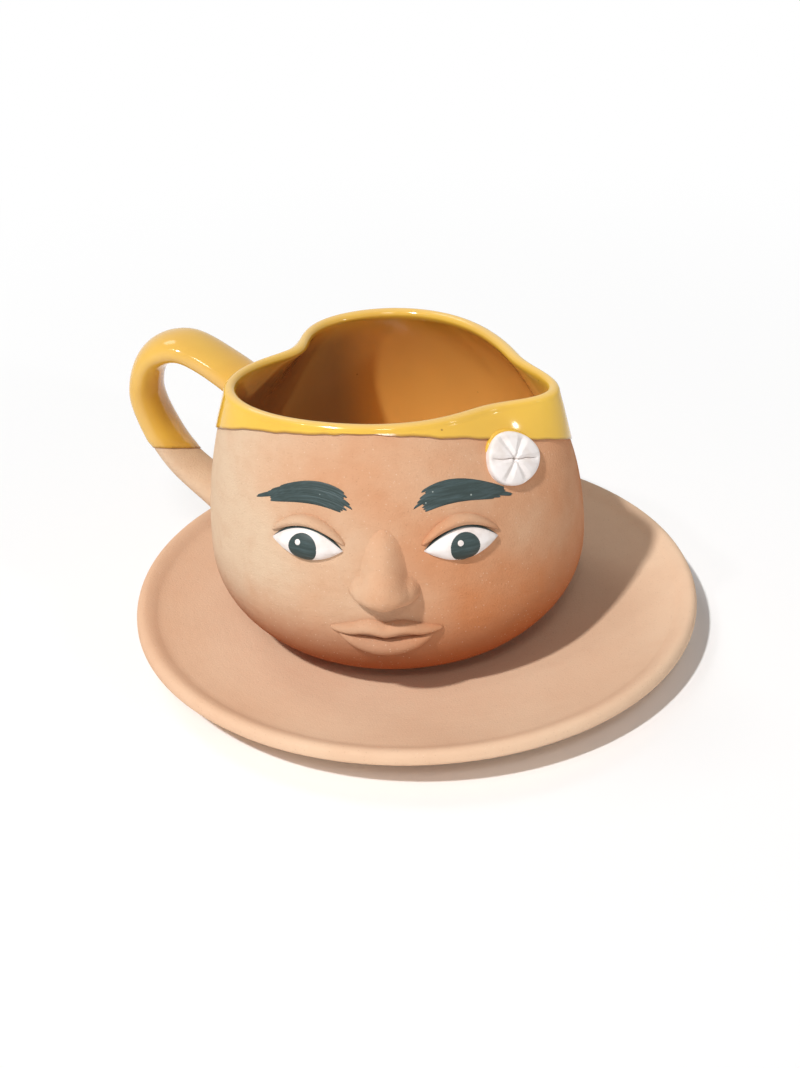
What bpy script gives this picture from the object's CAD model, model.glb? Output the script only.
# Hand-thrown clay cup with a pinched mouth, on its saucer.
import math
import random
import bmesh
import bpy
from mathutils import Matrix, Vector, noise


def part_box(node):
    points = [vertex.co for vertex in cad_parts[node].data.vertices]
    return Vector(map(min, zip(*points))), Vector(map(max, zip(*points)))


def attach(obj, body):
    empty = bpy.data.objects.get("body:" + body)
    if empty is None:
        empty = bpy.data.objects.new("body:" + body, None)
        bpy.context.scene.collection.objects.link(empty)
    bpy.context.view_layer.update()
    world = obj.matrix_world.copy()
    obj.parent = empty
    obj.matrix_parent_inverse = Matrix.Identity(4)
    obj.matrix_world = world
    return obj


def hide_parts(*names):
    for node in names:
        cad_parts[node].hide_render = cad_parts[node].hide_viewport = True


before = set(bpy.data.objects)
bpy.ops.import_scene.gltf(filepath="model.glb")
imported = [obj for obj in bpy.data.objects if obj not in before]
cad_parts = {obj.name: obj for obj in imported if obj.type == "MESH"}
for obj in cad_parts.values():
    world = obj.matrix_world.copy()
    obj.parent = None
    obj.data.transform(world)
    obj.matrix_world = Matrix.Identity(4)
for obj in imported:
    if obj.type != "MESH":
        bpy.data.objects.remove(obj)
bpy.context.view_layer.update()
mm = 0.001
weld = 0.004 * mm  # vertices nearer than this become one in a finished piece
seam = 0.001 * mm  # the same where a spin closes, and the tolerance of a cut
noiseSpread = (0.3, 0.7)  # most of a noise texture's values lie between these
print("frame loaded:", sorted(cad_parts))

# Shared helpers


def linearColour(hexColour):  # sRGB hex to the linear colour that a shader takes
    channels = [int(hexColour[i:i + 2], 16) / 255 for i in (1, 3, 5)]
    return [c / 12.92 if c <= 0.04045 else ((c + 0.055) / 1.055) ** 2.4 for c in channels] + [1.0]


def addNode(tree, kind, inputs=(), **settings):
    # inputs are values or sockets, by name or number, or in the node's own order
    node = tree.nodes.new(kind)
    for key, value in settings.items():
        setattr(node, key, value)
    for key, value in inputs.items() if isinstance(inputs, dict) else enumerate(inputs):
        if isinstance(value, bpy.types.NodeSocket):
            tree.links.new(value, node.inputs[key])
        else:
            node.inputs[key].default_value = value
    return node


def newMaterial(name):
    material = bpy.data.materials.new(name)
    material.use_nodes = True
    return material, material.node_tree, material.node_tree.nodes["Principled BSDF"]


def perMm(size):  # texture scale for a pattern of this size in millimetres, on object metres
    return 1 / (size * mm)


def smoothStep(low, high, x):
    t = min(max((x - low) / (high - low), 0), 1)
    return t * t * (3 - 2 * t)


def shares(count):  # count + 1 even steps from 0 to 1
    return [i / count for i in range(count + 1)]


def spinProfile(points, steps):  # points are radius and height
    bm = bmesh.new()
    verts = [bm.verts.new((r, 0, z)) for r, z in points]
    edges = [bm.edges.new(pair) for pair in zip(verts, verts[1:])]
    bmesh.ops.spin(bm, geom=verts + edges, axis=(0, 0, 1), cent=(0, 0, 0), angle=2 * math.pi,
                   steps=steps, use_merge=True)
    bmesh.ops.remove_doubles(bm, verts=bm.verts, dist=seam)
    return bm


def makePiece(name, bm, material, body, slot, *nodes):
    bmesh.ops.remove_doubles(bm, verts=bm.verts, dist=weld)
    bmesh.ops.recalc_face_normals(bm, faces=bm.faces)
    mesh = bpy.data.meshes.new(name)
    bm.to_mesh(mesh)
    bm.free()
    mesh.shade_smooth()
    mesh.materials.append(material)
    piece = bpy.data.objects.new(name, mesh)
    bpy.context.collection.objects.link(piece)
    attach(piece, body)
    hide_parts(*nodes)
    print("made", name, len(mesh.polygons), "faces")


# Materials

clayLook = {
    "warm": "#CE8556", "cloudMm": 34, "clouds": (0.22, 0.8),
    "deep": "#BC7C52", "mottleMm": 5, "mottles": (0.48, 0.78),
    "toast": "#984A1E", "toastHigh": 44 * mm, "toastLow": 18 * mm, "toastWave": 12 * mm,
    "gritMm": 0.45, "gritEdge": (0.42, 0.18),
    # colour, colour channel of the grit cell, how rare and how strong: dark iron, then pale quartz
    "specks": [("#8E5A3B", 0, 0.93, 0.18), ("#F0D9C0", 1, 0.965, 0.4)],
    "pitting": 0.3, "pitDepth": 0.1 * mm,
    "grainMm": 0.55, "grainDepth": 0.3 * mm,  # coarser than real sand, so that it shows
    "ringMm": 2.6, "ringDepth": 0.12 * mm, "ringWander": 9.0,
    "roughness": (0.78, 0.92), "shine": 0.08,
}


# Bisque-fired terracotta, thrown and sponged: dry and sandy, faint turning rings, cloudy warm patches
def bisqueTerracotta(name, firing):
    look = clayLook
    material, tree, shader = newMaterial(name)
    place = addNode(tree, "ShaderNodeTexCoord").outputs["Object"]
    axes = addNode(tree, "ShaderNodeSeparateXYZ", [place])
    cloud = addNode(tree, "ShaderNodeTexNoise",
                    {"Vector": place, "Scale": perMm(look["cloudMm"]), "Detail": 4.0})
    mottle = addNode(tree, "ShaderNodeTexNoise",
                     {"Vector": place, "Scale": perMm(look["mottleMm"]), "Detail": 6.0, "Roughness": 0.65})
    grain = addNode(tree, "ShaderNodeTexNoise",
                    {"Vector": place, "Scale": perMm(look["grainMm"]), "Detail": 3.0, "Roughness": 0.7})
    grit = addNode(tree, "ShaderNodeTexVoronoi", {"Vector": place, "Scale": perMm(look["gritMm"])})
    # a wave texture repeats every pi / 10 of its scaled coordinate
    rings = addNode(tree, "ShaderNodeTexWave",
                    {"Vector": place, "Scale": math.pi / 10 * perMm(look["ringMm"]),
                     "Distortion": look["ringWander"], "Detail": 3.0, "Detail Scale": 0.3},
                    wave_type=firing["rings"], bands_direction="Z", rings_direction="Z")

    # the flame touched one side more than the other
    flashed = addNode(tree, "ShaderNodeMath", [axes.outputs[0], firing["flash"], cloud.outputs[0]],
                      operation="MULTIPLY_ADD")
    clouded = addNode(tree, "ShaderNodeMapRange",
                      [flashed.outputs[0], *look["clouds"], 0, firing["clouding"]])
    mottled = addNode(tree, "ShaderNodeMapRange",
                      [mottle.outputs[0], *look["mottles"], 0, firing["mottling"]])
    # the kiln toasted the lower part, with an uneven edge
    uneven = addNode(tree, "ShaderNodeMath", [cloud.outputs[0], look["toastWave"], axes.outputs[2]],
                     operation="MULTIPLY_ADD")
    toasted = addNode(tree, "ShaderNodeMapRange",
                      [uneven.outputs[0], look["toastHigh"], look["toastLow"], 0, firing["toasting"]],
                      interpolation_type="SMOOTHSTEP")
    colour = linearColour(firing["pale"])
    for amount, tint in ((clouded, "warm"), (mottled, "deep"), (toasted, "toast")):
        mixed = addNode(tree, "ShaderNodeMix",
                        {0: amount.outputs[0], 6: colour, 7: linearColour(look[tint])}, data_type="RGBA")
        colour = mixed.outputs[2]

    # each grit cell has its own colour, which picks the few that show
    cellTone = addNode(tree, "ShaderNodeSeparateColor", [grit.outputs["Color"]])
    near = addNode(tree, "ShaderNodeMapRange", [grit.outputs["Distance"], *look["gritEdge"]])
    dots = []
    for tint, channel, rarity, strength in look["specks"]:
        chosen = addNode(tree, "ShaderNodeMath", [cellTone.outputs[channel], rarity],
                         operation="GREATER_THAN")
        dot = addNode(tree, "ShaderNodeMath", [near.outputs[0], chosen.outputs[0]], operation="MULTIPLY")
        faint = addNode(tree, "ShaderNodeMath", [dot.outputs[0], strength], operation="MULTIPLY")
        mixed = addNode(tree, "ShaderNodeMix",
                        {0: faint.outputs[0], 6: colour, 7: linearColour(tint)}, data_type="RGBA")
        colour = mixed.outputs[2]
        dots.append(dot.outputs[0])
    tree.links.new(colour, shader.inputs["Base Color"])

    dry = addNode(tree, "ShaderNodeMapRange", [mottle.outputs[0], *noiseSpread, *look["roughness"]])
    tree.links.new(dry.outputs[0], shader.inputs["Roughness"])
    turned = addNode(tree, "ShaderNodeBump",
                     {"Strength": firing["turning"], "Distance": look["ringDepth"],
                      "Height": rings.outputs[0]})
    sandy = addNode(tree, "ShaderNodeBump",
                    {"Strength": firing["sand"], "Distance": look["grainDepth"], "Height": grain.outputs[0],
                     "Normal": turned.outputs[0]})
    # the dark specks are small pits
    pitted = addNode(tree, "ShaderNodeBump",
                     {"Strength": look["pitting"], "Distance": look["pitDepth"], "Height": dots[0],
                      "Normal": sandy.outputs[0]}, invert=True)
    tree.links.new(pitted.outputs[0], shader.inputs["Normal"])
    shader.inputs["Specular IOR Level"].default_value = look["shine"]
    return material


glazeLook = {
    "yellow": "#EBBD43", "honey": "#DBA53C", "cloudMm": 22, "clouds": (0.4, 0.75), "clouding": 0.55,
    # attribute of the coat, colour and strength: amber where it is thick inside, brown where it ran
    # together, cream where it broke over the lip, and the clay's brown at its thin edge
    "layers": [("inside", "#F2B062", 0.75), ("pool", "#75594A", 0.85),
               ("crest", "#EBCB9C", 0.3), ("thin", "#8A5429", 0.75)],
    "fleck": "#7A4A20", "fleckMm": 3.2, "fleckEdge": (0.11, 0.05), "fleckRarity": 0.9, "fleckStrength": 0.6,
    "peelMm": 7, "peeling": 0.12, "peelDepth": 0.5 * mm,
    "roughness": 0.1, "ior": 1.5,
}


# Glossy yellow glaze over clay: wet shine on faint waves, cloudy honey patches, a few iron flecks
def glossyYellowGlaze(name):
    look = glazeLook
    material, tree, shader = newMaterial(name)
    place = addNode(tree, "ShaderNodeTexCoord").outputs["Object"]
    cloud = addNode(tree, "ShaderNodeTexNoise",
                    {"Vector": place, "Scale": perMm(look["cloudMm"]), "Detail": 3.0})
    clouded = addNode(tree, "ShaderNodeMapRange", [cloud.outputs[0], *look["clouds"], 0, look["clouding"]])
    base = addNode(tree, "ShaderNodeMix",
                   {0: clouded.outputs[0], 6: linearColour(look["yellow"]), 7: linearColour(look["honey"])},
                   data_type="RGBA")
    colour = base.outputs[2]
    for attribute, tint, strength in look["layers"]:
        lies = addNode(tree, "ShaderNodeAttribute", attribute_name=attribute)
        amount = addNode(tree, "ShaderNodeMath", [lies.outputs["Fac"], strength], operation="MULTIPLY")
        mixed = addNode(tree, "ShaderNodeMix",
                        {0: amount.outputs[0], 6: colour, 7: linearColour(tint)}, data_type="RGBA")
        colour = mixed.outputs[2]
    flecks = addNode(tree, "ShaderNodeTexVoronoi", {"Vector": place, "Scale": perMm(look["fleckMm"])})
    near = addNode(tree, "ShaderNodeMapRange", [flecks.outputs["Distance"], *look["fleckEdge"]])
    tone = addNode(tree, "ShaderNodeSeparateColor", [flecks.outputs["Color"]])
    few = addNode(tree, "ShaderNodeMath", [tone.outputs[0], look["fleckRarity"]], operation="GREATER_THAN")
    dot = addNode(tree, "ShaderNodeMath", [near.outputs[0], few.outputs[0]], operation="MULTIPLY")
    faint = addNode(tree, "ShaderNodeMath", [dot.outputs[0], look["fleckStrength"]], operation="MULTIPLY")
    flecked = addNode(tree, "ShaderNodeMix",
                      {0: faint.outputs[0], 6: colour, 7: linearColour(look["fleck"])}, data_type="RGBA")
    tree.links.new(flecked.outputs[2], shader.inputs["Base Color"])
    peel = addNode(tree, "ShaderNodeTexNoise",
                   {"Vector": place, "Scale": perMm(look["peelMm"]), "Detail": 1.0})
    waves = addNode(tree, "ShaderNodeBump",
                    {"Strength": look["peeling"], "Distance": look["peelDepth"], "Height": peel.outputs[0]})
    tree.links.new(waves.outputs[0], shader.inputs["Normal"])
    shader.inputs["Roughness"].default_value = look["roughness"]
    shader.inputs["IOR"].default_value = look["ior"]
    return material


slipLook = {
    "white": "#F4ECE8", "dusty": "#DCCEC4", "cloudMm": 4, "clouds": (0.48, 0.75), "clouding": 0.75,
    "streakMm": 0.9, "stretch": (0.35, 0.35, 1.0), "streaking": 0.5, "streakDepth": 0.2 * mm,
    "roughness": (0.45, 0.65),
}


# White slip brushed on damp clay: chalky satin, dusty patches, fine streaks along the brush
def whiteSlip(name):
    look = slipLook
    material, tree, shader = newMaterial(name)
    place = addNode(tree, "ShaderNodeTexCoord").outputs["Object"]
    brushed = addNode(tree, "ShaderNodeMapping", {"Vector": place, "Scale": look["stretch"]})
    streak = addNode(tree, "ShaderNodeTexNoise",
                     {"Vector": brushed.outputs[0], "Scale": perMm(look["streakMm"]), "Detail": 3.0})
    cloud = addNode(tree, "ShaderNodeTexNoise",
                    {"Vector": place, "Scale": perMm(look["cloudMm"]), "Detail": 4.0})
    patchy = addNode(tree, "ShaderNodeMapRange", [cloud.outputs[0], *look["clouds"], 0, look["clouding"]])
    colour = addNode(tree, "ShaderNodeMix",
                     {0: patchy.outputs[0], 6: linearColour(look["white"]), 7: linearColour(look["dusty"])},
                     data_type="RGBA")
    tree.links.new(colour.outputs[2], shader.inputs["Base Color"])
    lines = addNode(tree, "ShaderNodeBump",
                    {"Strength": look["streaking"], "Distance": look["streakDepth"],
                     "Height": streak.outputs[0]})
    tree.links.new(lines.outputs[0], shader.inputs["Normal"])
    satin = addNode(tree, "ShaderNodeMapRange", [streak.outputs[0], *noiseSpread, *look["roughness"]])
    tree.links.new(satin.outputs[0], shader.inputs["Roughness"])
    return material


brushLook = {
    "dark": "#263634", "worn": "#46585A", "streakMm": 0.9, "stretch": (0.12, 1.0, 1.0),
    "streaks": (0.45, 0.75), "wear": 0.85, "streaking": 0.3, "streakDepth": 0.1 * mm,
    "dust": "#A9B2AC", "dustMm": 1.3, "dustEdge": (0.2, 0.1), "dustRarity": 0.85,
    "roughness": 0.55,
}


# Dark underglaze painted in strokes: matt slate, worn streaks along the stroke, a few pale grains
def darkUnderglaze(name):
    look = brushLook
    material, tree, shader = newMaterial(name)
    place = addNode(tree, "ShaderNodeTexCoord").outputs["Object"]
    along = addNode(tree, "ShaderNodeAttribute", attribute_name="along")
    across = addNode(tree, "ShaderNodeAttribute", attribute_name="across")
    stroke = addNode(tree, "ShaderNodeCombineXYZ", [along.outputs["Fac"], across.outputs["Fac"]])
    bristle = addNode(tree, "ShaderNodeMapping", {"Vector": stroke.outputs[0], "Scale": look["stretch"]})
    streak = addNode(tree, "ShaderNodeTexNoise",
                     {"Vector": bristle.outputs[0], "Scale": perMm(look["streakMm"]), "Detail": 4.0,
                      "Roughness": 0.6})
    dry = addNode(tree, "ShaderNodeMapRange", [streak.outputs[0], *look["streaks"], 0, look["wear"]])
    base = addNode(tree, "ShaderNodeMix",
                   {0: dry.outputs[0], 6: linearColour(look["dark"]), 7: linearColour(look["worn"])},
                   data_type="RGBA")
    grains = addNode(tree, "ShaderNodeTexVoronoi", {"Vector": place, "Scale": perMm(look["dustMm"])})
    near = addNode(tree, "ShaderNodeMapRange", [grains.outputs["Distance"], *look["dustEdge"]])
    tone = addNode(tree, "ShaderNodeSeparateColor", [grains.outputs["Color"]])
    few = addNode(tree, "ShaderNodeMath", [tone.outputs[1], look["dustRarity"]], operation="GREATER_THAN")
    dot = addNode(tree, "ShaderNodeMath", [near.outputs[0], few.outputs[0]], operation="MULTIPLY")
    colour = addNode(tree, "ShaderNodeMix",
                     {0: dot.outputs[0], 6: base.outputs[2], 7: linearColour(look["dust"])},
                     data_type="RGBA")
    tree.links.new(colour.outputs[2], shader.inputs["Base Color"])
    lines = addNode(tree, "ShaderNodeBump",
                    {"Strength": look["streaking"], "Distance": look["streakDepth"],
                     "Height": streak.outputs[0]})
    tree.links.new(lines.outputs[0], shader.inputs["Normal"])
    shader.inputs["Roughness"].default_value = look["roughness"]
    return material


# how each pot came out of the kiln; flash is how much warmer it gets per metre to the right
potFiring = {
    "pale": "#DEC1A3", "clouding": 0.95, "mottling": 0.2, "toasting": 0.95, "flash": 6.0,
    "rings": "BANDS", "turning": 0.2, "sand": 0.65,
}
plateFiring = {
    "pale": "#ECCBAC", "clouding": 0.27, "mottling": 0.07, "toasting": 0.04, "flash": -4.0,
    "rings": "RINGS", "turning": 0.08, "sand": 0.35,
}
potClay = bisqueTerracotta("bisque terracotta bowl", potFiring)
plateClay = bisqueTerracotta("bisque terracotta saucer", plateFiring)
glaze = glossyYellowGlaze("glossy yellow glaze")
slip = whiteSlip("white brushed slip")
underglaze = darkUnderglaze("dark painted underglaze")
print("materials ready")

# Bowl: thrown round, then its mouth is pushed out into two ears and in at two pinches

bowlLow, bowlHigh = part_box("bowl")
cupAxis = Vector(((bowlLow[0] + bowlHigh[0]) / 2, (bowlLow[1] + bowlHigh[1]) / 2, bowlLow[2]))
bowl = {
    "foot": 20.5 * mm,
    "belly": (bowlHigh[0] - bowlLow[0]) / 2,
    "bellyHeight": 23.5 * mm,
    "rim": bowlHigh[2] - bowlLow[2],
    "wall": 4.2 * mm,
    "lip": 2.0 * mm,
    "floor": 5.5 * mm,
    "floorRadius": 14 * mm,
    "mouth": 32 * mm,
    # direction and spread in degrees, with the push between them
    "pushes": [(-20, 10 * mm, 16), (30, -3 * mm, 40), (-162, 9 * mm, 40), (162, -9.7 * mm, 24)],
    "wobble": 0.12 * mm,
    "wobbleSize": 18 * mm,
    "wobbleFull": 8 * mm,
    "around": 256,
    "lowerSteps": 18,
    "upperSteps": 34,
    "lipSteps": 10,
}
lipHeight = bowl["rim"] - bowl["lip"] / 2
frontAngle = math.radians(-90)


def upperArc(belly, mouth, share):
    return belly * math.sqrt(1 - (1 - (mouth / belly) ** 2) * share ** 2)


def mouthReach(angle):
    reach = bowl["mouth"]
    for at, push, spread in bowl["pushes"]:
        away = angle - math.radians(at)
        offset = math.atan2(math.sin(away), math.cos(away)) / math.radians(spread)
        reach += push * math.exp(-offset ** 2)
    return reach


def pushAt(angle, z):
    share = min(max((z - bowl["bellyHeight"]) / (lipHeight - bowl["bellyHeight"]), 0), 1)
    middle = bowl["belly"] - bowl["wall"] / 2
    return upperArc(middle, mouthReach(angle), share) - upperArc(middle, bowl["mouth"], share)


def roundOutside(z):
    if z <= bowl["bellyHeight"]:
        turn = math.acos(1 - max(z, 0) / bowl["bellyHeight"])
        return bowl["foot"] + (bowl["belly"] - bowl["foot"]) * math.sin(turn)
    share = min((z - bowl["bellyHeight"]) / (lipHeight - bowl["bellyHeight"]), 1)
    return upperArc(bowl["belly"], bowl["mouth"] + bowl["lip"] / 2, share)


def roundInside(z):
    belly = bowl["belly"] - bowl["wall"]
    if z <= bowl["bellyHeight"]:
        drop = (bowl["bellyHeight"] - max(z, bowl["floor"])) / (bowl["bellyHeight"] - bowl["floor"])
        return bowl["floorRadius"] + (belly - bowl["floorRadius"]) * math.sqrt(1 - drop ** 2)
    share = min((z - bowl["bellyHeight"]) / (lipHeight - bowl["bellyHeight"]), 1)
    return upperArc(belly, bowl["mouth"] - bowl["lip"] / 2, share)


def outsideRadius(angle, z):
    return roundOutside(z) + pushAt(angle, z)


def pushMouth(bm):
    for v in bm.verts:
        radius = math.hypot(v.co.x, v.co.y)
        if radius > 0:
            angle = math.atan2(v.co.y, v.co.x)
            wobble = bowl["wobble"] * noise.noise(v.co / bowl["wobbleSize"])
            wobble *= smoothStep(0, bowl["wobbleFull"], v.co.z)
            grown = radius + pushAt(angle, v.co.z) + wobble
            v.co.x *= grown / radius
            v.co.y *= grown / radius


def outsidePath():
    lower = []
    for s in shares(bowl["lowerSteps"]):
        z = bowl["bellyHeight"] * (1 - math.cos(s * math.pi / 2))
        lower.append((roundOutside(z), z))
    upper = []
    for s in shares(bowl["upperSteps"])[1:]:
        z = bowl["bellyHeight"] + (lipHeight - bowl["bellyHeight"]) * s
        upper.append((roundOutside(z), z))
    return lower + upper


def lipPath(grow):
    half = bowl["lip"] / 2 + grow
    turns = [math.pi * s for s in shares(bowl["lipSteps"])]
    return [(bowl["mouth"] + half * math.cos(t), lipHeight + half * math.sin(t)) for t in turns]


def insidePath(grow):
    upper = []
    for s in reversed(shares(bowl["upperSteps"])[1:]):
        z = bowl["bellyHeight"] + (lipHeight - bowl["bellyHeight"]) * s
        upper.append((roundInside(z) - grow, z))
    lower = []
    rise = bowl["bellyHeight"] - bowl["floor"]
    for s in reversed(shares(bowl["lowerSteps"])):
        z = bowl["floor"] + rise * (1 - math.cos(s * math.pi / 2))
        lower.append((roundInside(z) - grow * s, z + grow * (1 - s)))
    return upper + lower


def makeBowl():
    profile = [(0, 0)] + outsidePath() + lipPath(0)[1:-1] + insidePath(0) + [(0, bowl["floor"])]
    bm = spinProfile(profile, bowl["around"])
    pushMouth(bm)
    bmesh.ops.translate(bm, verts=bm.verts, vec=cupAxis)
    makePiece("thrownBowl", bm, potClay, "cup", "bare_clay", "bowl")


def onWall(place, across, up, out):
    # a point near a place on the outside wall, by its distances across, up and out from there
    angle, height = place
    nudge = 0.05 * mm
    turn = nudge / bowl["belly"]

    def at(a, z):
        r = outsideRadius(a, z)
        return Vector((r * math.cos(a), r * math.sin(a), z))

    perAngle = (at(angle + turn, height) - at(angle - turn, height)).length / (2 * turn)
    perHeight = (at(angle, height + nudge) - at(angle, height - nudge)).length / (2 * nudge)
    a = angle + across / perAngle
    z = height + up / perHeight
    normal = (at(a + turn, z) - at(a - turn, z)).cross(at(a, z + nudge) - at(a, z - nudge)).normalized()
    return cupAxis + at(a, z) + normal * out


makeBowl()

# Handle: a pulled strap with an oval section, luted on in the left pinch

handle = {
    "angle": math.radians(166),
    "width": 12.8 * mm,
    "thickness": 6.4 * mm,
    "flare": 0.22,
    "rootDepth": 5 * mm,
    "tuck": 1.2 * mm,
    "upperRootDrop": 10.8 * mm,
    "lowerRootHeight": 26.5 * mm,
    # out from the belly and down from the rim, then the tail's own height
    "bend": [(7 * mm, 0.9 * mm), (15.2 * mm, 4 * mm), (18.9 * mm, 14.5 * mm)],
    "tail": (12 * mm, 37.5 * mm),
    "steps": 150,
    "sides": 48,
    "wobble": 0.15 * mm,
    "wobbleSize": 9 * mm,
}


def handleStations():
    def seat(z):
        return outsideRadius(handle["angle"], z), z

    upper = seat(bowl["rim"] - handle["upperRootDrop"])
    lower = seat(handle["lowerRootHeight"])
    depth = handle["rootDepth"]
    bend = [(bowl["belly"] + out, bowl["rim"] - drop) for out, drop in handle["bend"]]
    tail = (bowl["belly"] + handle["tail"][0], handle["tail"][1])
    upperRoot = (upper[0] - depth, upper[1] - depth)
    lowerRoot = (lower[0] - depth, lower[1] - depth)
    return [upperRoot, upper, *bend, tail, lower, lowerRoot]


def smoothCurve(stations, count):
    # centripetal Catmull-Rom through the stations, then evened out by length
    fine = 40
    points = [Vector(s) for s in stations]
    points = [2 * points[0] - points[1]] + points + [2 * points[-1] - points[-2]]
    dense = []
    for p0, p1, p2, p3 in zip(points, points[1:], points[2:], points[3:]):
        k0 = 0
        k1 = k0 + math.sqrt((p1 - p0).length)
        k2 = k1 + math.sqrt((p2 - p1).length)
        k3 = k2 + math.sqrt((p3 - p2).length)
        for s in shares(fine)[:-1]:
            k = k1 + (k2 - k1) * s
            a1 = p0.lerp(p1, (k - k0) / (k1 - k0))
            a2 = p1.lerp(p2, (k - k1) / (k2 - k1))
            a3 = p2.lerp(p3, (k - k2) / (k3 - k2))
            b1 = a1.lerp(a2, (k - k0) / (k2 - k0))
            b2 = a2.lerp(a3, (k - k1) / (k3 - k1))
            dense.append(b1.lerp(b2, (k - k1) / (k2 - k1)))
    dense.append(points[-2])
    lengths = [0]
    for a, b in zip(dense, dense[1:]):
        lengths.append(lengths[-1] + (b - a).length)
    even = []
    j = 0
    for s in shares(count):
        want = s * lengths[-1]
        while j < len(dense) - 2 and lengths[j + 1] < want:
            j += 1
        span = lengths[j + 1] - lengths[j]
        even.append(dense[j].lerp(dense[j + 1], (want - lengths[j]) / span))
    return even


handleLine = smoothCurve(handleStations(), handle["steps"])


def handleFrame(i):
    here = handleLine[i]
    ahead = handleLine[min(i + 1, len(handleLine) - 1)] - handleLine[max(i - 1, 0)]
    ahead.normalize()
    radial = Vector((math.cos(handle["angle"]), math.sin(handle["angle"]), 0))
    across = Vector((-radial.y, radial.x, 0))
    tangent = radial * ahead.x + Vector((0, 0, ahead.y))
    matrix = Matrix.Identity(4)
    matrix.col[0].xyz = across
    matrix.col[1].xyz = tangent.cross(across)
    matrix.col[2].xyz = tangent
    matrix.col[3].xyz = cupAxis + radial * here.x + Vector((0, 0, here.y))
    fromMiddle = abs(2 * i / handle["steps"] - 1)
    flare = 1 + handle["flare"] * fromMiddle ** 4  # only the roots widen
    return matrix, flare


def strap(grow, first, last):
    bm = bmesh.new()
    ring = bmesh.ops.create_circle(bm, segments=handle["sides"], radius=1)["verts"]
    edges = list(bm.edges)
    bmesh.ops.contextual_create(bm, geom=edges)
    placed = Matrix.Identity(4)
    for i in range(first, last + 1):
        matrix, flare = handleFrame(i)
        halfWidth = handle["width"] * flare / 2 + grow
        halfThickness = handle["thickness"] * flare / 2 + grow
        if i > first:
            made = bmesh.ops.extrude_edge_only(bm, edges=edges)["geom"]
            ring = [g for g in made if isinstance(g, bmesh.types.BMVert)]
            edges = [g for g in made if isinstance(g, bmesh.types.BMEdge)]
        target = matrix @ Matrix.Diagonal((halfWidth, halfThickness, 1, 1))
        bmesh.ops.transform(bm, matrix=target @ placed.inverted(), verts=ring)
        placed = target
    bmesh.ops.contextual_create(bm, geom=edges)
    bmesh.ops.recalc_face_normals(bm, faces=bm.faces)
    bm.normal_update()
    return bm


def wobbleStrap(bm):
    for v in bm.verts:
        v.co += v.normal * handle["wobble"] * noise.noise(v.co / handle["wobbleSize"])


def tuckRoots(bm, depth):
    # what reaches through the wall is pressed back into it
    for v in bm.verts:
        at = v.co - cupAxis
        angle, radius = math.atan2(at.y, at.x), math.hypot(at.x, at.y)
        least = outsideRadius(angle, min(at.z, lipHeight)) - depth
        if radius < least:
            v.co.x = cupAxis.x + at.x * least / radius
            v.co.y = cupAxis.y + at.y * least / radius


def makeHandle():
    bm = strap(0, 0, handle["steps"])
    wobbleStrap(bm)
    tuckRoots(bm, handle["tuck"])
    makePiece("strapHandle", bm, potClay, "cup", "bare_clay", "handle")


makeHandle()

# Glaze: poured inside and dipped over the mouth at a tilt, and over most of the handle

coat = {
    "thick": 0.55 * mm,
    "sunk": 0.5 * mm,
    "dipHeight": bowl["rim"] - 18.3 * mm,
    "dipTilt": math.radians(26.5),
    "dipLean": math.radians(2.3),
    "wave": 0.45 * mm,
    "longWave": 11 * mm,
    "shortWave": 4 * mm,
    "bandDrop": 10 * mm,  # of the band before it is stretched to the dip line
    "bandSteps": 30,
    "bandEase": 1.6,  # rows get closer towards the edge
    "bead": 0.25,  # how much thicker the coat is just above its edge
    "beadShare": 0.02,
    "edgeShare": 0.004,
    "edgeThick": 0.3,
    "hiddenDrop": 3 * mm,
    "backFrom": 6,  # rows of the inside that the lip's own back stands in for
    "edge": 0.7 * mm,
    "crestDrop": 0.1 * mm,
    "insideFrom": 1 * mm,
    "insideFull": -9 * mm,
    "poolFrom": -5 * mm,
    "poolFull": -19 * mm,
}
dipNormal = Vector((math.tan(coat["dipLean"]), math.tan(coat["dipTilt"]), 1)).normalized()


def addGlazeLayers(bm):
    return {name: bm.verts.layers.float.new(name) for name, _, _ in glazeLook["layers"]}


def glazeLine(angle):
    # height of the dip line on the wall, found by a few rounds because the wall leans
    outward = Vector((math.cos(angle), math.sin(angle), 0))
    z = coat["dipHeight"]
    for _ in range(12):
        z = coat["dipHeight"] - dipNormal.dot(outsideRadius(angle, z) * outward) / dipNormal.z
    around = outward * bowl["belly"]
    wave = noise.noise(around / coat["longWave"]) + 0.5 * noise.noise(around / coat["shortWave"])
    return z + coat["wave"] * wave


def glazeProfile(bottom):
    thick, sunk = coat["thick"], coat["sunk"]
    band = [(bowl["mouth"] + bowl["lip"] / 2 + thick, lipHeight)]
    for s in shares(coat["bandSteps"])[1:]:
        left = 1 - s
        z = lipHeight + (bottom - lipHeight) * (1 - left ** coat["bandEase"])
        fade = max(smoothStep(0, coat["edgeShare"], left), coat["edgeThick"])
        bead = 1 + coat["bead"] * math.exp(-(left / coat["beadShare"]) ** 2)
        band.append((roundOutside(z) + thick * bead * fade, z))
    hidden = [(roundOutside(z) - sunk, z) for z in (bottom, lipHeight - coat["hiddenDrop"])]
    back = [(bowl["mouth"], lipHeight - bowl["lip"] / 2)]
    back += [(r + sunk, z) for r, z in insidePath(0)[coat["backFrom"]:]]
    inside = list(reversed(insidePath(thick)))
    lip = list(reversed(lipPath(thick)))[1:-1]
    return [(0, bowl["floor"] + thick)] + inside + lip + band + hidden + back + [(0, bowl["floor"] - sunk)]


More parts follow.
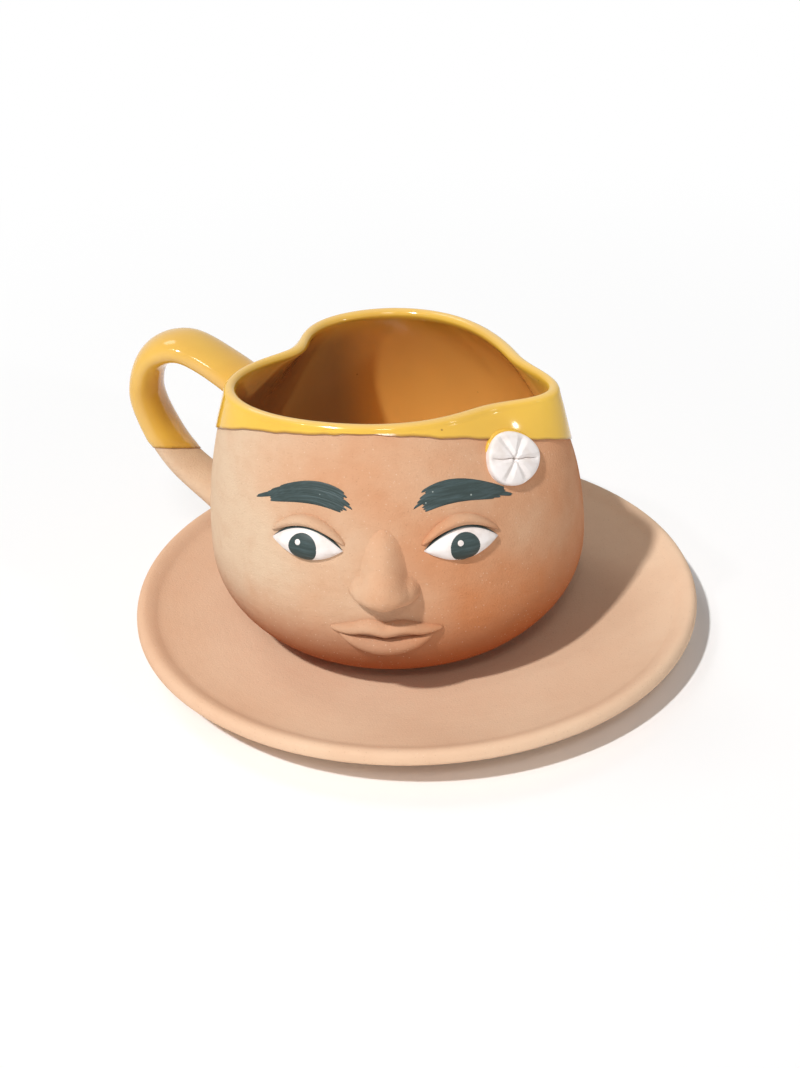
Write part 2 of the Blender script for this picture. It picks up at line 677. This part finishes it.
def makeGlaze():
    bottom = lipHeight - coat["bandDrop"]
    bm = spinProfile(glazeProfile(bottom), bowl["around"])
    layers = addGlazeLayers(bm)
    for v in bm.verts:
        radius = math.hypot(v.co.x, v.co.y)
        z = v.co.z
        v[layers["crest"]] = smoothStep(bowl["rim"] - coat["crestDrop"], bowl["rim"] + coat["thick"], z)
        wallMiddle = (roundOutside(z) + roundInside(z)) / 2
        if bottom - weld <= z < lipHeight and radius > wallMiddle:
            line = glazeLine(math.atan2(v.co.y, v.co.x))
            share = (lipHeight - z) / (lipHeight - bottom)
            v.co.z = lipHeight + (line - lipHeight) * share
            v[layers["thin"]] = smoothStep(coat["edge"], 0, v.co.z - line)
            grown = roundOutside(v.co.z) + radius - roundOutside(z)
            v.co.x *= grown / radius
            v.co.y *= grown / radius
        elif radius < wallMiddle:
            deep = smoothStep(bowl["rim"] + coat["insideFrom"], bowl["rim"] + coat["insideFull"], z)
            v[layers["inside"]] = deep
            v[layers["pool"]] = deep * smoothStep(coat["poolFrom"], coat["poolFull"], v.co.x)
    pushMouth(bm)
    bmesh.ops.translate(bm, verts=bm.verts, vec=cupAxis)
    makePiece("glazedMouth", bm, glaze, "cup", "yellow_glaze", "glaze_coat")


strapCoat = {
    "first": 2,
    "drop": 7.5 * mm,
    "wave": 0.675 * mm,
    "waveSize": 5 * mm,
    "waveReach": 6 * mm,
    "thinBy": 0.7,
    "thinReach": 2 * mm,
    "tuck": 0.8 * mm,
    "edgeIn": 0.88 * mm,
    "patchSize": 8 * mm,
    "innerFacing": (0.4, 0.95),
    "innerThin": 0.7,
    "sideFacing": (0.7, 1),
    "inside": 0.25,
    "pool": 0.12,
}


def makeStrapGlaze():
    c = strapCoat
    bm = strap(coat["thick"], c["first"], handle["steps"])
    wobbleStrap(bm)
    plane = cupAxis + Vector((0, 0, coat["dipHeight"] - c["drop"]))
    for v in bm.verts:
        above = dipNormal.dot(v.co - plane)
        v.co.z += c["wave"] * noise.noise(v.co / c["waveSize"]) * smoothStep(c["waveReach"], 0, abs(above))
        v.co -= v.normal * coat["thick"] * c["thinBy"] * smoothStep(c["thinReach"], 0, above)
    tuckRoots(bm, c["tuck"])
    everything = list(bm.verts) + list(bm.edges) + list(bm.faces)
    cut = bmesh.ops.bisect_plane(bm, geom=everything, dist=seam, plane_co=plane, plane_no=-dipNormal,
                                 clear_outer=True)["geom_cut"]
    # the cut edge turns in to the clay and is closed
    rim = [e for e in cut if isinstance(e, bmesh.types.BMEdge)]
    middle = sum((v.co for e in rim for v in e.verts), Vector()) / (2 * len(rim))
    made = bmesh.ops.extrude_edge_only(bm, edges=rim)["geom"]
    for v in [g for g in made if isinstance(g, bmesh.types.BMVert)]:
        v.co += (middle - v.co).normalized() * c["edgeIn"]
    bmesh.ops.contextual_create(bm, geom=[g for g in made if isinstance(g, bmesh.types.BMEdge)])
    layers = addGlazeLayers(bm)
    bm.normal_update()
    # it ran thin in patches inside the loop, and broke pale along the narrow sides
    across = handleFrame(0)[0].col[0].xyz
    loopMiddle = sum((v.co for v in bm.verts), Vector()) / len(bm.verts)
    for v in bm.verts:
        patch = 0.5 + 0.5 * noise.noise(v.co / c["patchSize"])
        inner = smoothStep(*c["innerFacing"], v.normal.dot((loopMiddle - v.co).normalized()))
        edge = smoothStep(coat["edge"], 0, dipNormal.dot(v.co - plane))
        v[layers["thin"]] = max(edge, c["innerThin"] * inner * patch)
        v[layers["crest"]] = smoothStep(*c["sideFacing"], abs(v.normal.dot(across))) * patch
        v[layers["inside"]] = c["inside"]
        v[layers["pool"]] = c["pool"]
    makePiece("glazedStrap", bm, glaze, "cup", "yellow_glaze", "glaze_coat")


makeGlaze()
makeStrapGlaze()

# Saucer: a thrown plate with a short upturned edge

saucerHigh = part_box("saucer")[1]
saucer = {
    "radius": saucerHigh[0] - 0.15 * mm,  # a little in, to leave room for the wobble
    "height": saucerHigh[2] - 0.12 * mm,
    "floor": cupAxis.z,
    "foot": 46 * mm,
    "footRound": 0.6 * mm,
    "footRise": 0.12 * mm,
    "well": 40 * mm,
    "wellRings": 8,
    "edge": 3.8 * mm,
    "edgeRise": 2.8 * mm,
    "edgeDrop": 1.8 * mm,
    "edgeTurn": 1.2 * mm,
    "around": 200,
    "curveSteps": 16,
    "wobble": 0.12 * mm,
    "wobbleSize": 25 * mm,
    "wobbleDown": 0.4,
}


def bend(start, control, end, count):
    points = []
    for s in shares(count)[1:]:
        a = Vector(start).lerp(Vector(control), s)
        b = Vector(control).lerp(Vector(end), s)
        points.append(tuple(a.lerp(b, s)))
    return points


def makeSaucer():
    s = saucer
    edgeIn = s["radius"] - s["edge"]
    footIn = (s["foot"] - s["footRound"], 0)
    footOut = (s["foot"] + s["footRound"], s["footRise"])
    low = (s["radius"], s["height"] - s["edgeRise"])
    top = (s["radius"] - s["edge"] / 2, s["height"])
    inner = (edgeIn - s["edge"] / 2, s["height"] - s["edgeDrop"])
    well = (s["well"], s["floor"])
    count = s["curveSteps"]
    profile = [(0, 0), (s["foot"] / 2, 0), footIn]
    profile += bend(footIn, (s["foot"], 0), footOut, count // 4)
    profile += bend(profile[-1], ((s["foot"] + s["radius"]) / 2, 0), low, count)
    profile += bend(low, (s["radius"], s["height"]), top, count // 2)
    profile += bend(top, (top[0] - s["edgeTurn"], s["height"]), inner, count // 2)
    profile += bend(inner, ((edgeIn + s["well"]) / 2, s["floor"]), well, count)
    profile += [(s["well"] * k / s["wellRings"], s["floor"]) for k in reversed(range(s["wellRings"]))]
    bm = spinProfile(profile, s["around"])
    for v in bm.verts:
        out = smoothStep(s["foot"], s["radius"], math.hypot(v.co.x, v.co.y))
        v.co.z += s["wobble"] * out * (noise.noise(v.co / s["wobbleSize"]) - s["wobbleDown"])
    makePiece("thrownSaucer", bm, plateClay, "saucer", "bare_clay", "saucer")


makeSaucer()

# Pressed-on clay: shaped flat in distances across, up and out, then set on the wall


def pressOnWall(bm, place):
    for v in bm.verts:
        v.co = onWall(place, *v.co)


def addStrokeLayers(bm):
    return bm.verts.layers.float.new("along"), bm.verts.layers.float.new("across")


def roll(bm, path, halfWidth, relief, along, around):
    # a sausage of clay: path, half width and relief are functions of the share along it
    step = 0.01
    before = set(bm.verts)
    bmesh.ops.create_grid(bm, x_segments=along, y_segments=around, size=0.5)
    alongLayer = bm.verts.layers.float.get("along")
    acrossLayer = bm.verts.layers.float.get("across")
    for v in [v for v in bm.verts if v not in before]:
        s, turn = v.co.x + 0.5, (v.co.y + 0.5) * 2 * math.pi
        x, y = path(s)
        ax, ay = path(min(s + step, 1))
        bx, by = path(max(s - step, 0))
        ahead = Vector((ax - bx, ay - by)).normalized()
        aside = halfWidth(s) * math.cos(turn)
        if alongLayer is not None:
            v[alongLayer] = x
            v[acrossLayer] = y + aside
        v.co = (x - ahead.y * aside, y + ahead.x * aside, relief(s) * math.sin(turn))


def taper(s, power=0.5):
    return max(math.sin(math.pi * s), 0) ** power


eye = {
    "height": 43 * mm, "spacing": 39 * mm, "width": 18.5 * mm, "upper": 4.64 * mm, "lower": 3.36 * mm,
    "relief": 2.4 * mm, "sunk": 0.7 * mm,
    "iris": 3.5 * mm, "irisAt": (0, -0.1 * mm), "glint": 0.75 * mm, "glintAt": (-1.1 * mm, 1.2 * mm),
    "paint": 0.12 * mm, "paintSunk": 0.3 * mm,
    "lidWidth": 2.8 * mm, "lidRelief": 2.7 * mm, "lidOver": 0.4 * mm,
    "lash": 0.45 * mm, "lashRelief": 1.25 * mm, "lashTaper": 0.7,
    "lashIn": 0.6 * mm, "lashDrop": 0.3 * mm, "lashLift": 0.2 * mm,
    # faces along and around each
    "whiteMesh": (72, 36), "paintMesh": (40, 20), "lidMesh": (56, 24), "lashMesh": (56, 16),
}


def almondReach(turn):
    # from the middle to the almond's edge, where each half is a parabola over the eye's width
    half = eye["width"] / 2
    opening = eye["upper"] if math.sin(turn) > 0 else eye["lower"]
    up = abs(math.sin(turn))
    bow = opening * math.cos(turn) ** 2 / half ** 2
    if bow * opening < 1e-9:
        return opening / up
    return (-up + math.sqrt(up ** 2 + 4 * bow * opening)) / (2 * bow)


def eyeDome(x, y):
    share = math.hypot(x, y) / almondReach(math.atan2(y, x))
    return eye["relief"] * math.sqrt(max(1 - share ** 2, 0))


def makeEye(name, side):
    place = (frontAngle + side * eye["spacing"] / 2 / bowl["belly"], eye["height"])
    bm = bmesh.new()
    around, rings = eye["whiteMesh"]
    bmesh.ops.create_uvsphere(bm, u_segments=around, v_segments=rings, radius=1)
    for v in bm.verts:
        reach = almondReach(math.atan2(v.co.y, v.co.x))
        depth = eye["relief"] if v.co.z > 0 else eye["sunk"]
        v.co = (v.co.x * reach, v.co.y * reach, v.co.z * depth)
    pressOnWall(bm, place)
    makePiece(name + "EyeWhite", bm, slip, "cup", "white_slip", name + "_eye")

    # the glint is a second coat of paint on the iris
    around, rings = eye["paintMesh"]
    for part, coats, look in (("iris", 1, underglaze), ("glint", 2, slip)):
        radius, middle = eye[part], eye[part + "At"]
        bm = bmesh.new()
        bmesh.ops.create_uvsphere(bm, u_segments=around, v_segments=rings, radius=1)
        alongLayer, acrossLayer = addStrokeLayers(bm)
        for v in bm.verts:
            x, y = middle[0] + v.co.x * radius, middle[1] + v.co.y * radius
            depth = eye["paint"] * coats if v.co.z > 0 else eye["paintSunk"]
            v[alongLayer] = x
            v[acrossLayer] = y
            v.co = (x, y, eyeDome(x, y) + depth * v.co.z)
        pressOnWall(bm, place)
        makePiece(name + part.capitalize(), bm, look, "cup", "white_slip")

    half = eye["width"] / 2 + eye["lidOver"]

    def upperEdge(s):
        t = 2 * s - 1
        return t * half, eye["lidWidth"] / 2 + eye["upper"] * (1 - t * t)

    bm = bmesh.new()
    roll(bm, upperEdge, lambda s: eye["lidWidth"] / 2 * taper(s),
         lambda s: eye["lidRelief"] * taper(s), *eye["lidMesh"])
    pressOnWall(bm, place)
    makePiece(name + "Eyelid", bm, potClay, "cup", "bare_clay", name + "_eyelid")

    def lashLine(s):
        t = 2 * s - 1
        return t * (half - eye["lashIn"]), (eye["upper"] - eye["lashDrop"]) * (1 - t * t) + eye["lashLift"]

    bm = bmesh.new()
    addStrokeLayers(bm)
    roll(bm, lashLine, lambda s: eye["lash"] * taper(s, eye["lashTaper"]),
         lambda s: eye["lashRelief"] * taper(s), *eye["lashMesh"])
    pressOnWall(bm, place)
    makePiece(name + "LashLine", bm, underglaze, "cup", "white_slip")


for name, side in (("left", -1), ("right", 1)):
    makeEye(name, side)

nose = {
    "base": 29.5 * mm, "length": 19.5 * mm, "width": 17 * mm, "middle": 5 * mm, "below": 5.5 * mm,
    "skirt": 0.6 * mm, "narrowing": 0.35, "edgeSunk": 0.35 * mm, "backSunk": 0.9 * mm,
    # relief and half width at the root, and what each gains to the tip
    "ridge": (1.7 * mm, 4.4 * mm), "ridgeGain": (4.4 * mm, 2.2 * mm), "ridgeEnd": (-0.5 * mm, 5 * mm),
    # relief, place to each side, place up, half width and half height
    "ball": (7.7 * mm, 0, 5.2 * mm, 5.6 * mm, 5.4 * mm),
    "wing": (5.0 * mm, 5.0 * mm, 3.9 * mm, 3.6 * mm, 3.7 * mm),
    "nostril": (2.6 * mm, 3.1 * mm, 0.9 * mm, 1.3 * mm, 1.1 * mm),
    "rings": 30, "around": 72,
}


def noseHeight(x, y):
    # a ridge that rises to the tip, the ball of the tip and two wings, melted together, less the nostrils
    def relief(part):
        return nose[part][0]

    def away(part):
        _, aside, up, halfWidth, halfHeight = nose[part]
        return ((abs(x) - aside) / halfWidth) ** 2 + ((y - up) / halfHeight) ** 2

    run = min(max(1 - y / nose["length"], 0), 1)
    ridgeHeight = nose["ridge"][0] + nose["ridgeGain"][0] * run
    ridgeHalf = nose["ridge"][1] + nose["ridgeGain"][1] * run
    ridge = ridgeHeight * max(0, 1 - (x / ridgeHalf) ** 2) * smoothStep(*nose["ridgeEnd"], y)
    ball = relief("ball") * math.sqrt(max(0, 1 - away("ball")))
    wings = relief("wing") * math.sqrt(max(0, 1 - away("wing")))
    nostrils = relief("nostril") * math.exp(-away("nostril"))
    return max((ridge ** 3 + ball ** 3 + wings ** 3) ** (1 / 3) - nostrils, 0)


def makeNose():
    bm = bmesh.new()
    bmesh.ops.create_uvsphere(bm, u_segments=nose["around"], v_segments=2 * nose["rings"], radius=1)
    for v in bm.verts:
        turn = math.atan2(v.co.y, v.co.x)
        rho = math.asin(min(math.hypot(v.co.x, v.co.y), 1)) / (math.pi / 2)
        up = math.sin(turn)
        tall = nose["length"] - nose["middle"] if up > 0 else nose["below"]
        wide = (nose["width"] / 2 + nose["skirt"]) * (1 - nose["narrowing"] * max(up, 0))
        x = rho * wide * math.cos(turn)
        y = nose["middle"] + rho * tall * up
        edge = rho ** 5  # only the outermost part sinks into the wall
        out = noseHeight(x, y) * (1 - edge) - nose["edgeSunk"] * edge
        v.co = (x, y, out if v.co.z > 0 else -nose["backSunk"])
    pressOnWall(bm, (frontAngle, nose["base"]))
    makePiece("pressedNose", bm, potClay, "cup", "bare_clay", "nose")


makeNose()

mouth = {
    "height": 21.5 * mm, "width": 27 * mm, "upper": 3.6 * mm, "lower": 4.4 * mm, "relief": 2.8 * mm,
    "parting": 0.5 * mm, "smile": 1.3 * mm, "bow": 1.1 * mm, "bowAt": 0.32, "bowSpread": 0.26,
    "mesh": (64, 24),
}


def makeLips():
    place = (frontAngle, mouth["height"])
    half = mouth["width"] / 2

    def upperLine(s):
        t = 2 * s - 1
        middle = (mouth["parting"] + mouth["upper"]) / 2
        peaks = mouth["bow"] * math.exp(-((abs(t) - mouth["bowAt"]) / mouth["bowSpread"]) ** 2)
        return t * half, (middle + peaks) * (1 - t * t) + (mouth["parting"] + mouth["smile"]) * t * t

    def lowerLine(s):
        t = 2 * s - 1
        middle = (mouth["parting"] + mouth["lower"]) / 2
        reach = half - mouth["lower"] / 2
        return t * reach, -middle * (1 - t * t) + (mouth["smile"] - mouth["parting"]) * t * t

    for name, line in (("upper", upperLine), ("lower", lowerLine)):
        bm = bmesh.new()
        roll(bm, line, lambda s: mouth[name] / 2 * taper(s),
             lambda s: mouth["relief"] * taper(s), *mouth["mesh"])
        pressOnWall(bm, place)
        makePiece(name + "Lip", bm, potClay, "cup", "bare_clay", name + "_lip")


makeLips()

rosette = {
    "angle": math.radians(-43.3), "height": bowl["rim"] - 11.1 * mm,
    "radius": 6.4 * mm, "wide": 1.09, "relief": 2.5 * mm, "sunk": 0.6 * mm, "flatness": 0.35,
    "uneven": 0.03, "unevenScale": 1.6, "unevenSlice": 3, "lines": 3, "turn": math.radians(-14),
    "groove": 0.6 * mm, "grooveWidth": 1.5 * mm, "grooveNarrow": 0.35, "grooveEnd": (1.02, 0.75),
    "crack": 0.16 * mm, "crackDepth": 0.7 * mm, "crackWander": 0.3 * mm, "crackBend": 2 * mm,
    "crackEnd": (0.95, 0.6), "around": 240, "rings": 110,
}


def makeRosette():
    r = rosette
    bm = bmesh.new()
    bmesh.ops.create_uvsphere(bm, u_segments=r["around"], v_segments=r["rings"], radius=1)
    for v in bm.verts:
        trim = 1 + r["uneven"] * noise.noise(Vector((v.co.x, v.co.y, r["unevenSlice"])) * r["unevenScale"])
        x, y = v.co.x * r["radius"] * r["wide"] * trim, v.co.y * r["radius"] * trim
        rho = math.hypot(v.co.x, v.co.y)
        flat = abs(v.co.z) ** r["flatness"]
        out = r["relief"] * flat if v.co.z > 0 else -r["sunk"] * flat
        if v.co.z > 0:
            grooveWidth = r["grooveWidth"] * (r["grooveNarrow"] + (1 - r["grooveNarrow"]) * rho)
            for k in range(r["lines"]):
                line = math.pi * k / r["lines"] + r["turn"]
                away = abs(x * math.sin(line) - y * math.cos(line))
                out -= r["groove"] * max(0, 1 - away / grooveWidth) * smoothStep(*r["grooveEnd"], rho)
            wander = r["crackWander"] * noise.noise(Vector((x / r["crackBend"], 0, 0)))
            fromCrack = abs(y - math.tan(r["turn"]) * x + wander)
            out -= r["crackDepth"] * max(0, 1 - fromCrack / r["crack"]) * smoothStep(*r["crackEnd"], rho)
        v.co = (x, y, out)
    pressOnWall(bm, (r["angle"], r["height"]))
    makePiece("scoredRosette", bm, slip, "cup", "white_slip", "rosette")


makeRosette()

collar = {
    "from": math.radians(24), "to": math.radians(150), "clear": 0.1 * mm,
    "width": 0.7 * mm, "relief": 1.1 * mm, "mesh": (60, 20),
}


def makeCollar():
    # the glaze crept up round the rosette where it was pressed through the wet coat
    def arc(s):
        turn = collar["from"] + (collar["to"] - collar["from"]) * s
        reach = rosette["radius"] + collar["clear"]
        return reach * rosette["wide"] * math.cos(turn), reach * math.sin(turn)

    bm = bmesh.new()
    addGlazeLayers(bm)
    roll(bm, arc, lambda s: collar["width"] * taper(s),
         lambda s: collar["relief"] * taper(s), *collar["mesh"])
    pressOnWall(bm, (rosette["angle"], rosette["height"]))
    makePiece("glazeCollar", bm, glaze, "cup", "yellow_glaze", "glaze_coat")


makeCollar()

brow = {
    "height": 52.5 * mm, "inner": 7 * mm, "length": 25 * mm, "width": 5.2 * mm,
    "arch": 3.2 * mm, "archSkew": 0.8, "tailDrop": 2.0 * mm, "tailNarrow": 0.5,
    "bristles": 9, "overlap": 1.05, "blunt": 0.35, "paint": 0.16 * mm, "paintDraw": (0.8, 1.2),
    # each bristle starts and stops at its own share of the stroke, the outer ones inside the middle one
    "startDraw": (0, 0.07), "startRound": 0.16, "stopDraw": (0.72, 1.0), "stopRound": 0.1,
    "seed": 11, "mesh": (60, 12),
}
rng = random.Random(brow["seed"])


def makeBrow(name, side):
    bm = bmesh.new()
    addStrokeLayers(bm)
    bristleHalf = brow["width"] / brow["bristles"] * brow["overlap"]
    for k in range(brow["bristles"]):
        lane = (k + 0.5) / brow["bristles"] - 0.5
        start = rng.uniform(*brow["startDraw"]) + brow["startRound"] * abs(lane)
        stop = rng.uniform(*brow["stopDraw"]) - brow["stopRound"] * abs(lane)
        paint = brow["paint"] * rng.uniform(*brow["paintDraw"])
        if k == brow["bristles"] // 2:
            start, stop = 0, 1

        def strokeLine(s):
            t = start + (stop - start) * s
            rise = brow["arch"] * math.sin(math.pi * t ** brow["archSkew"]) - brow["tailDrop"] * t ** 2
            spread = brow["width"] * (1 - brow["tailNarrow"] * t ** 2) * lane
            return side * (brow["inner"] + brow["length"] * t), rise + spread

        roll(bm, strokeLine, lambda s: bristleHalf * taper(s, brow["blunt"]),
             lambda s: paint * taper(s, brow["blunt"]), *brow["mesh"])
    pressOnWall(bm, (frontAngle, brow["height"]))
    makePiece(name + "Brow", bm, underglaze, "cup", "bare_clay")


for name, side in (("left", -1), ("right", 1)):
    makeBrow(name, side)

# Floor, light and camera

stage = {"floor": "#FAFAFA", "size": 12.0, "drop": 0.05 * mm, "shadowReach": 0.13, "whiteFrom": 0.36}


# Matt white paper: no shine, so it shows the shadow alone
def makeFloor():
    bm = bmesh.new()
    bmesh.ops.create_grid(bm, x_segments=1, y_segments=1, size=stage["size"] / 2)
    bmesh.ops.translate(bm, verts=bm.verts, vec=(0, 0, -stage["drop"]))
    mesh = bpy.data.meshes.new("floor")
    bm.to_mesh(mesh)
    bm.free()
    floor = bpy.data.objects.new("floor", mesh)
    bpy.context.collection.objects.link(floor)
    material, tree, shader = newMaterial("matt white paper")
    shader.inputs["Base Color"].default_value = linearColour(stage["floor"])
    shader.inputs["Roughness"].default_value = 1.0
    shader.inputs["Specular IOR Level"].default_value = 0.0
    # the paper keeps its shadow round the object, and further off the camera sees it plain white
    place = addNode(tree, "ShaderNodeTexCoord").outputs["Object"]
    away = addNode(tree, "ShaderNodeVectorMath", [place], operation="LENGTH").outputs["Value"]
    far = addNode(tree, "ShaderNodeMapRange", [away, stage["shadowReach"], stage["whiteFrom"]],
                  interpolation_type="SMOOTHSTEP")
    seen = addNode(tree, "ShaderNodeLightPath").outputs["Is Camera Ray"]
    share = addNode(tree, "ShaderNodeMath", [seen, far.outputs[0]], operation="MULTIPLY")
    white = addNode(tree, "ShaderNodeEmission", {"Color": (1, 1, 1, 1), "Strength": 1.0})
    mixed = addNode(tree, "ShaderNodeMixShader", [share.outputs[0], shader.outputs[0], white.outputs[0]])
    tree.links.new(mixed.outputs[0], tree.nodes["Material Output"].inputs["Surface"])
    mesh.materials.append(material)


lamps = {
    "aim": Vector((0, 0, 40 * mm)),
    "away": 9.0,
    # azimuth, elevation, width, and share of the light on a level surface
    "discs": {
        "key": (-123.5, 52.5, 0.45, 0.6),
        "keyLeft": (-141, 50, 0.36, 0.03),  # a small glint beside the key's
        "fill": (-88, 46, 1.4, 0.08),
        "back": (142, 56, 3.2, 0.1),
        "window": (-38, 19, 0.5, 0.016),  # a small glint on the right of the glaze
    },
    "world": 0.22,
}


def addLamp(name, azimuth, elevation, width, share):
    a, e = math.radians(azimuth), math.radians(elevation)
    offset = Vector((math.cos(a) * math.cos(e), math.sin(a) * math.cos(e), math.sin(e))) * lamps["away"]
    data = bpy.data.lights.new(name, "AREA")
    data.shape = "DISK"
    data.size = width
    data.energy = share / math.sin(e) * (math.pi * lamps["away"]) ** 2
    lamp = bpy.data.objects.new(name, data)
    lamp.location = lamps["aim"] + offset
    lamp.rotation_euler = (-offset).to_track_quat("-Z", "Y").to_euler()
    bpy.context.collection.objects.link(lamp)


def makeLights():
    for name, disc in lamps["discs"].items():
        addLamp(name, *disc)
    world = bpy.data.worlds.new("studio")
    world.use_nodes = True
    tree = world.node_tree
    background = tree.nodes["Background"]
    background.inputs["Color"].default_value = (1, 1, 1, 1)
    # white where it is seen or mirrored, dimmer as a light
    path = addNode(tree, "ShaderNodeLightPath")
    shown = addNode(tree, "ShaderNodeMath",
                    [path.outputs["Is Camera Ray"], path.outputs["Is Glossy Ray"]], operation="ADD")
    clear = addNode(tree, "ShaderNodeMath",
                    [shown.outputs[0], path.outputs["Is Transmission Ray"]],
                    operation="ADD", use_clamp=True)
    strength = addNode(tree, "ShaderNodeMapRange", [clear.outputs[0], 0, 1, lamps["world"], 1])
    tree.links.new(strength.outputs[0], background.inputs["Strength"])
    bpy.context.scene.world = world


view = {
    "away": 480 * mm, "azimuth": math.radians(4.5), "elevation": math.radians(31),
    "roll": math.radians(-2.26),
    "aim": Vector((0, 0, 30 * mm)), "aside": -3.45 * mm, "lower": -2.5 * mm,
    "focalPixels": 1884, "photoHeight": 1068, "sensor": 36, "clip": (0.01, 50),
}


def makeCamera():
    a, e, r = view["azimuth"], view["elevation"], view["roll"]
    back = Vector((math.sin(a) * math.cos(e), -math.cos(a) * math.cos(e), math.sin(e)))
    right = Vector((0, 0, 1)).cross(back).normalized()
    up = back.cross(right)
    turnedRight = right * math.cos(r) + up * math.sin(r)
    turnedUp = up * math.cos(r) - right * math.sin(r)
    data = bpy.data.cameras.new("camera")
    data.sensor_width = view["sensor"]
    data.lens = view["focalPixels"] * view["sensor"] / view["photoHeight"]
    data.clip_start, data.clip_end = view["clip"]
    camera = bpy.data.objects.new("camera", data)
    place = Matrix.Identity(4)
    place.col[0].xyz = turnedRight
    place.col[1].xyz = turnedUp
    place.col[2].xyz = back
    shift = turnedRight * view["aside"] + turnedUp * view["lower"]
    place.col[3].xyz = view["aim"] + back * view["away"] + shift
    camera.matrix_world = place
    bpy.context.collection.objects.link(camera)
    bpy.context.scene.camera = camera


makeFloor()
makeLights()
makeCamera()
bpy.context.scene.view_settings.view_transform = "Standard"
print("stage ready")
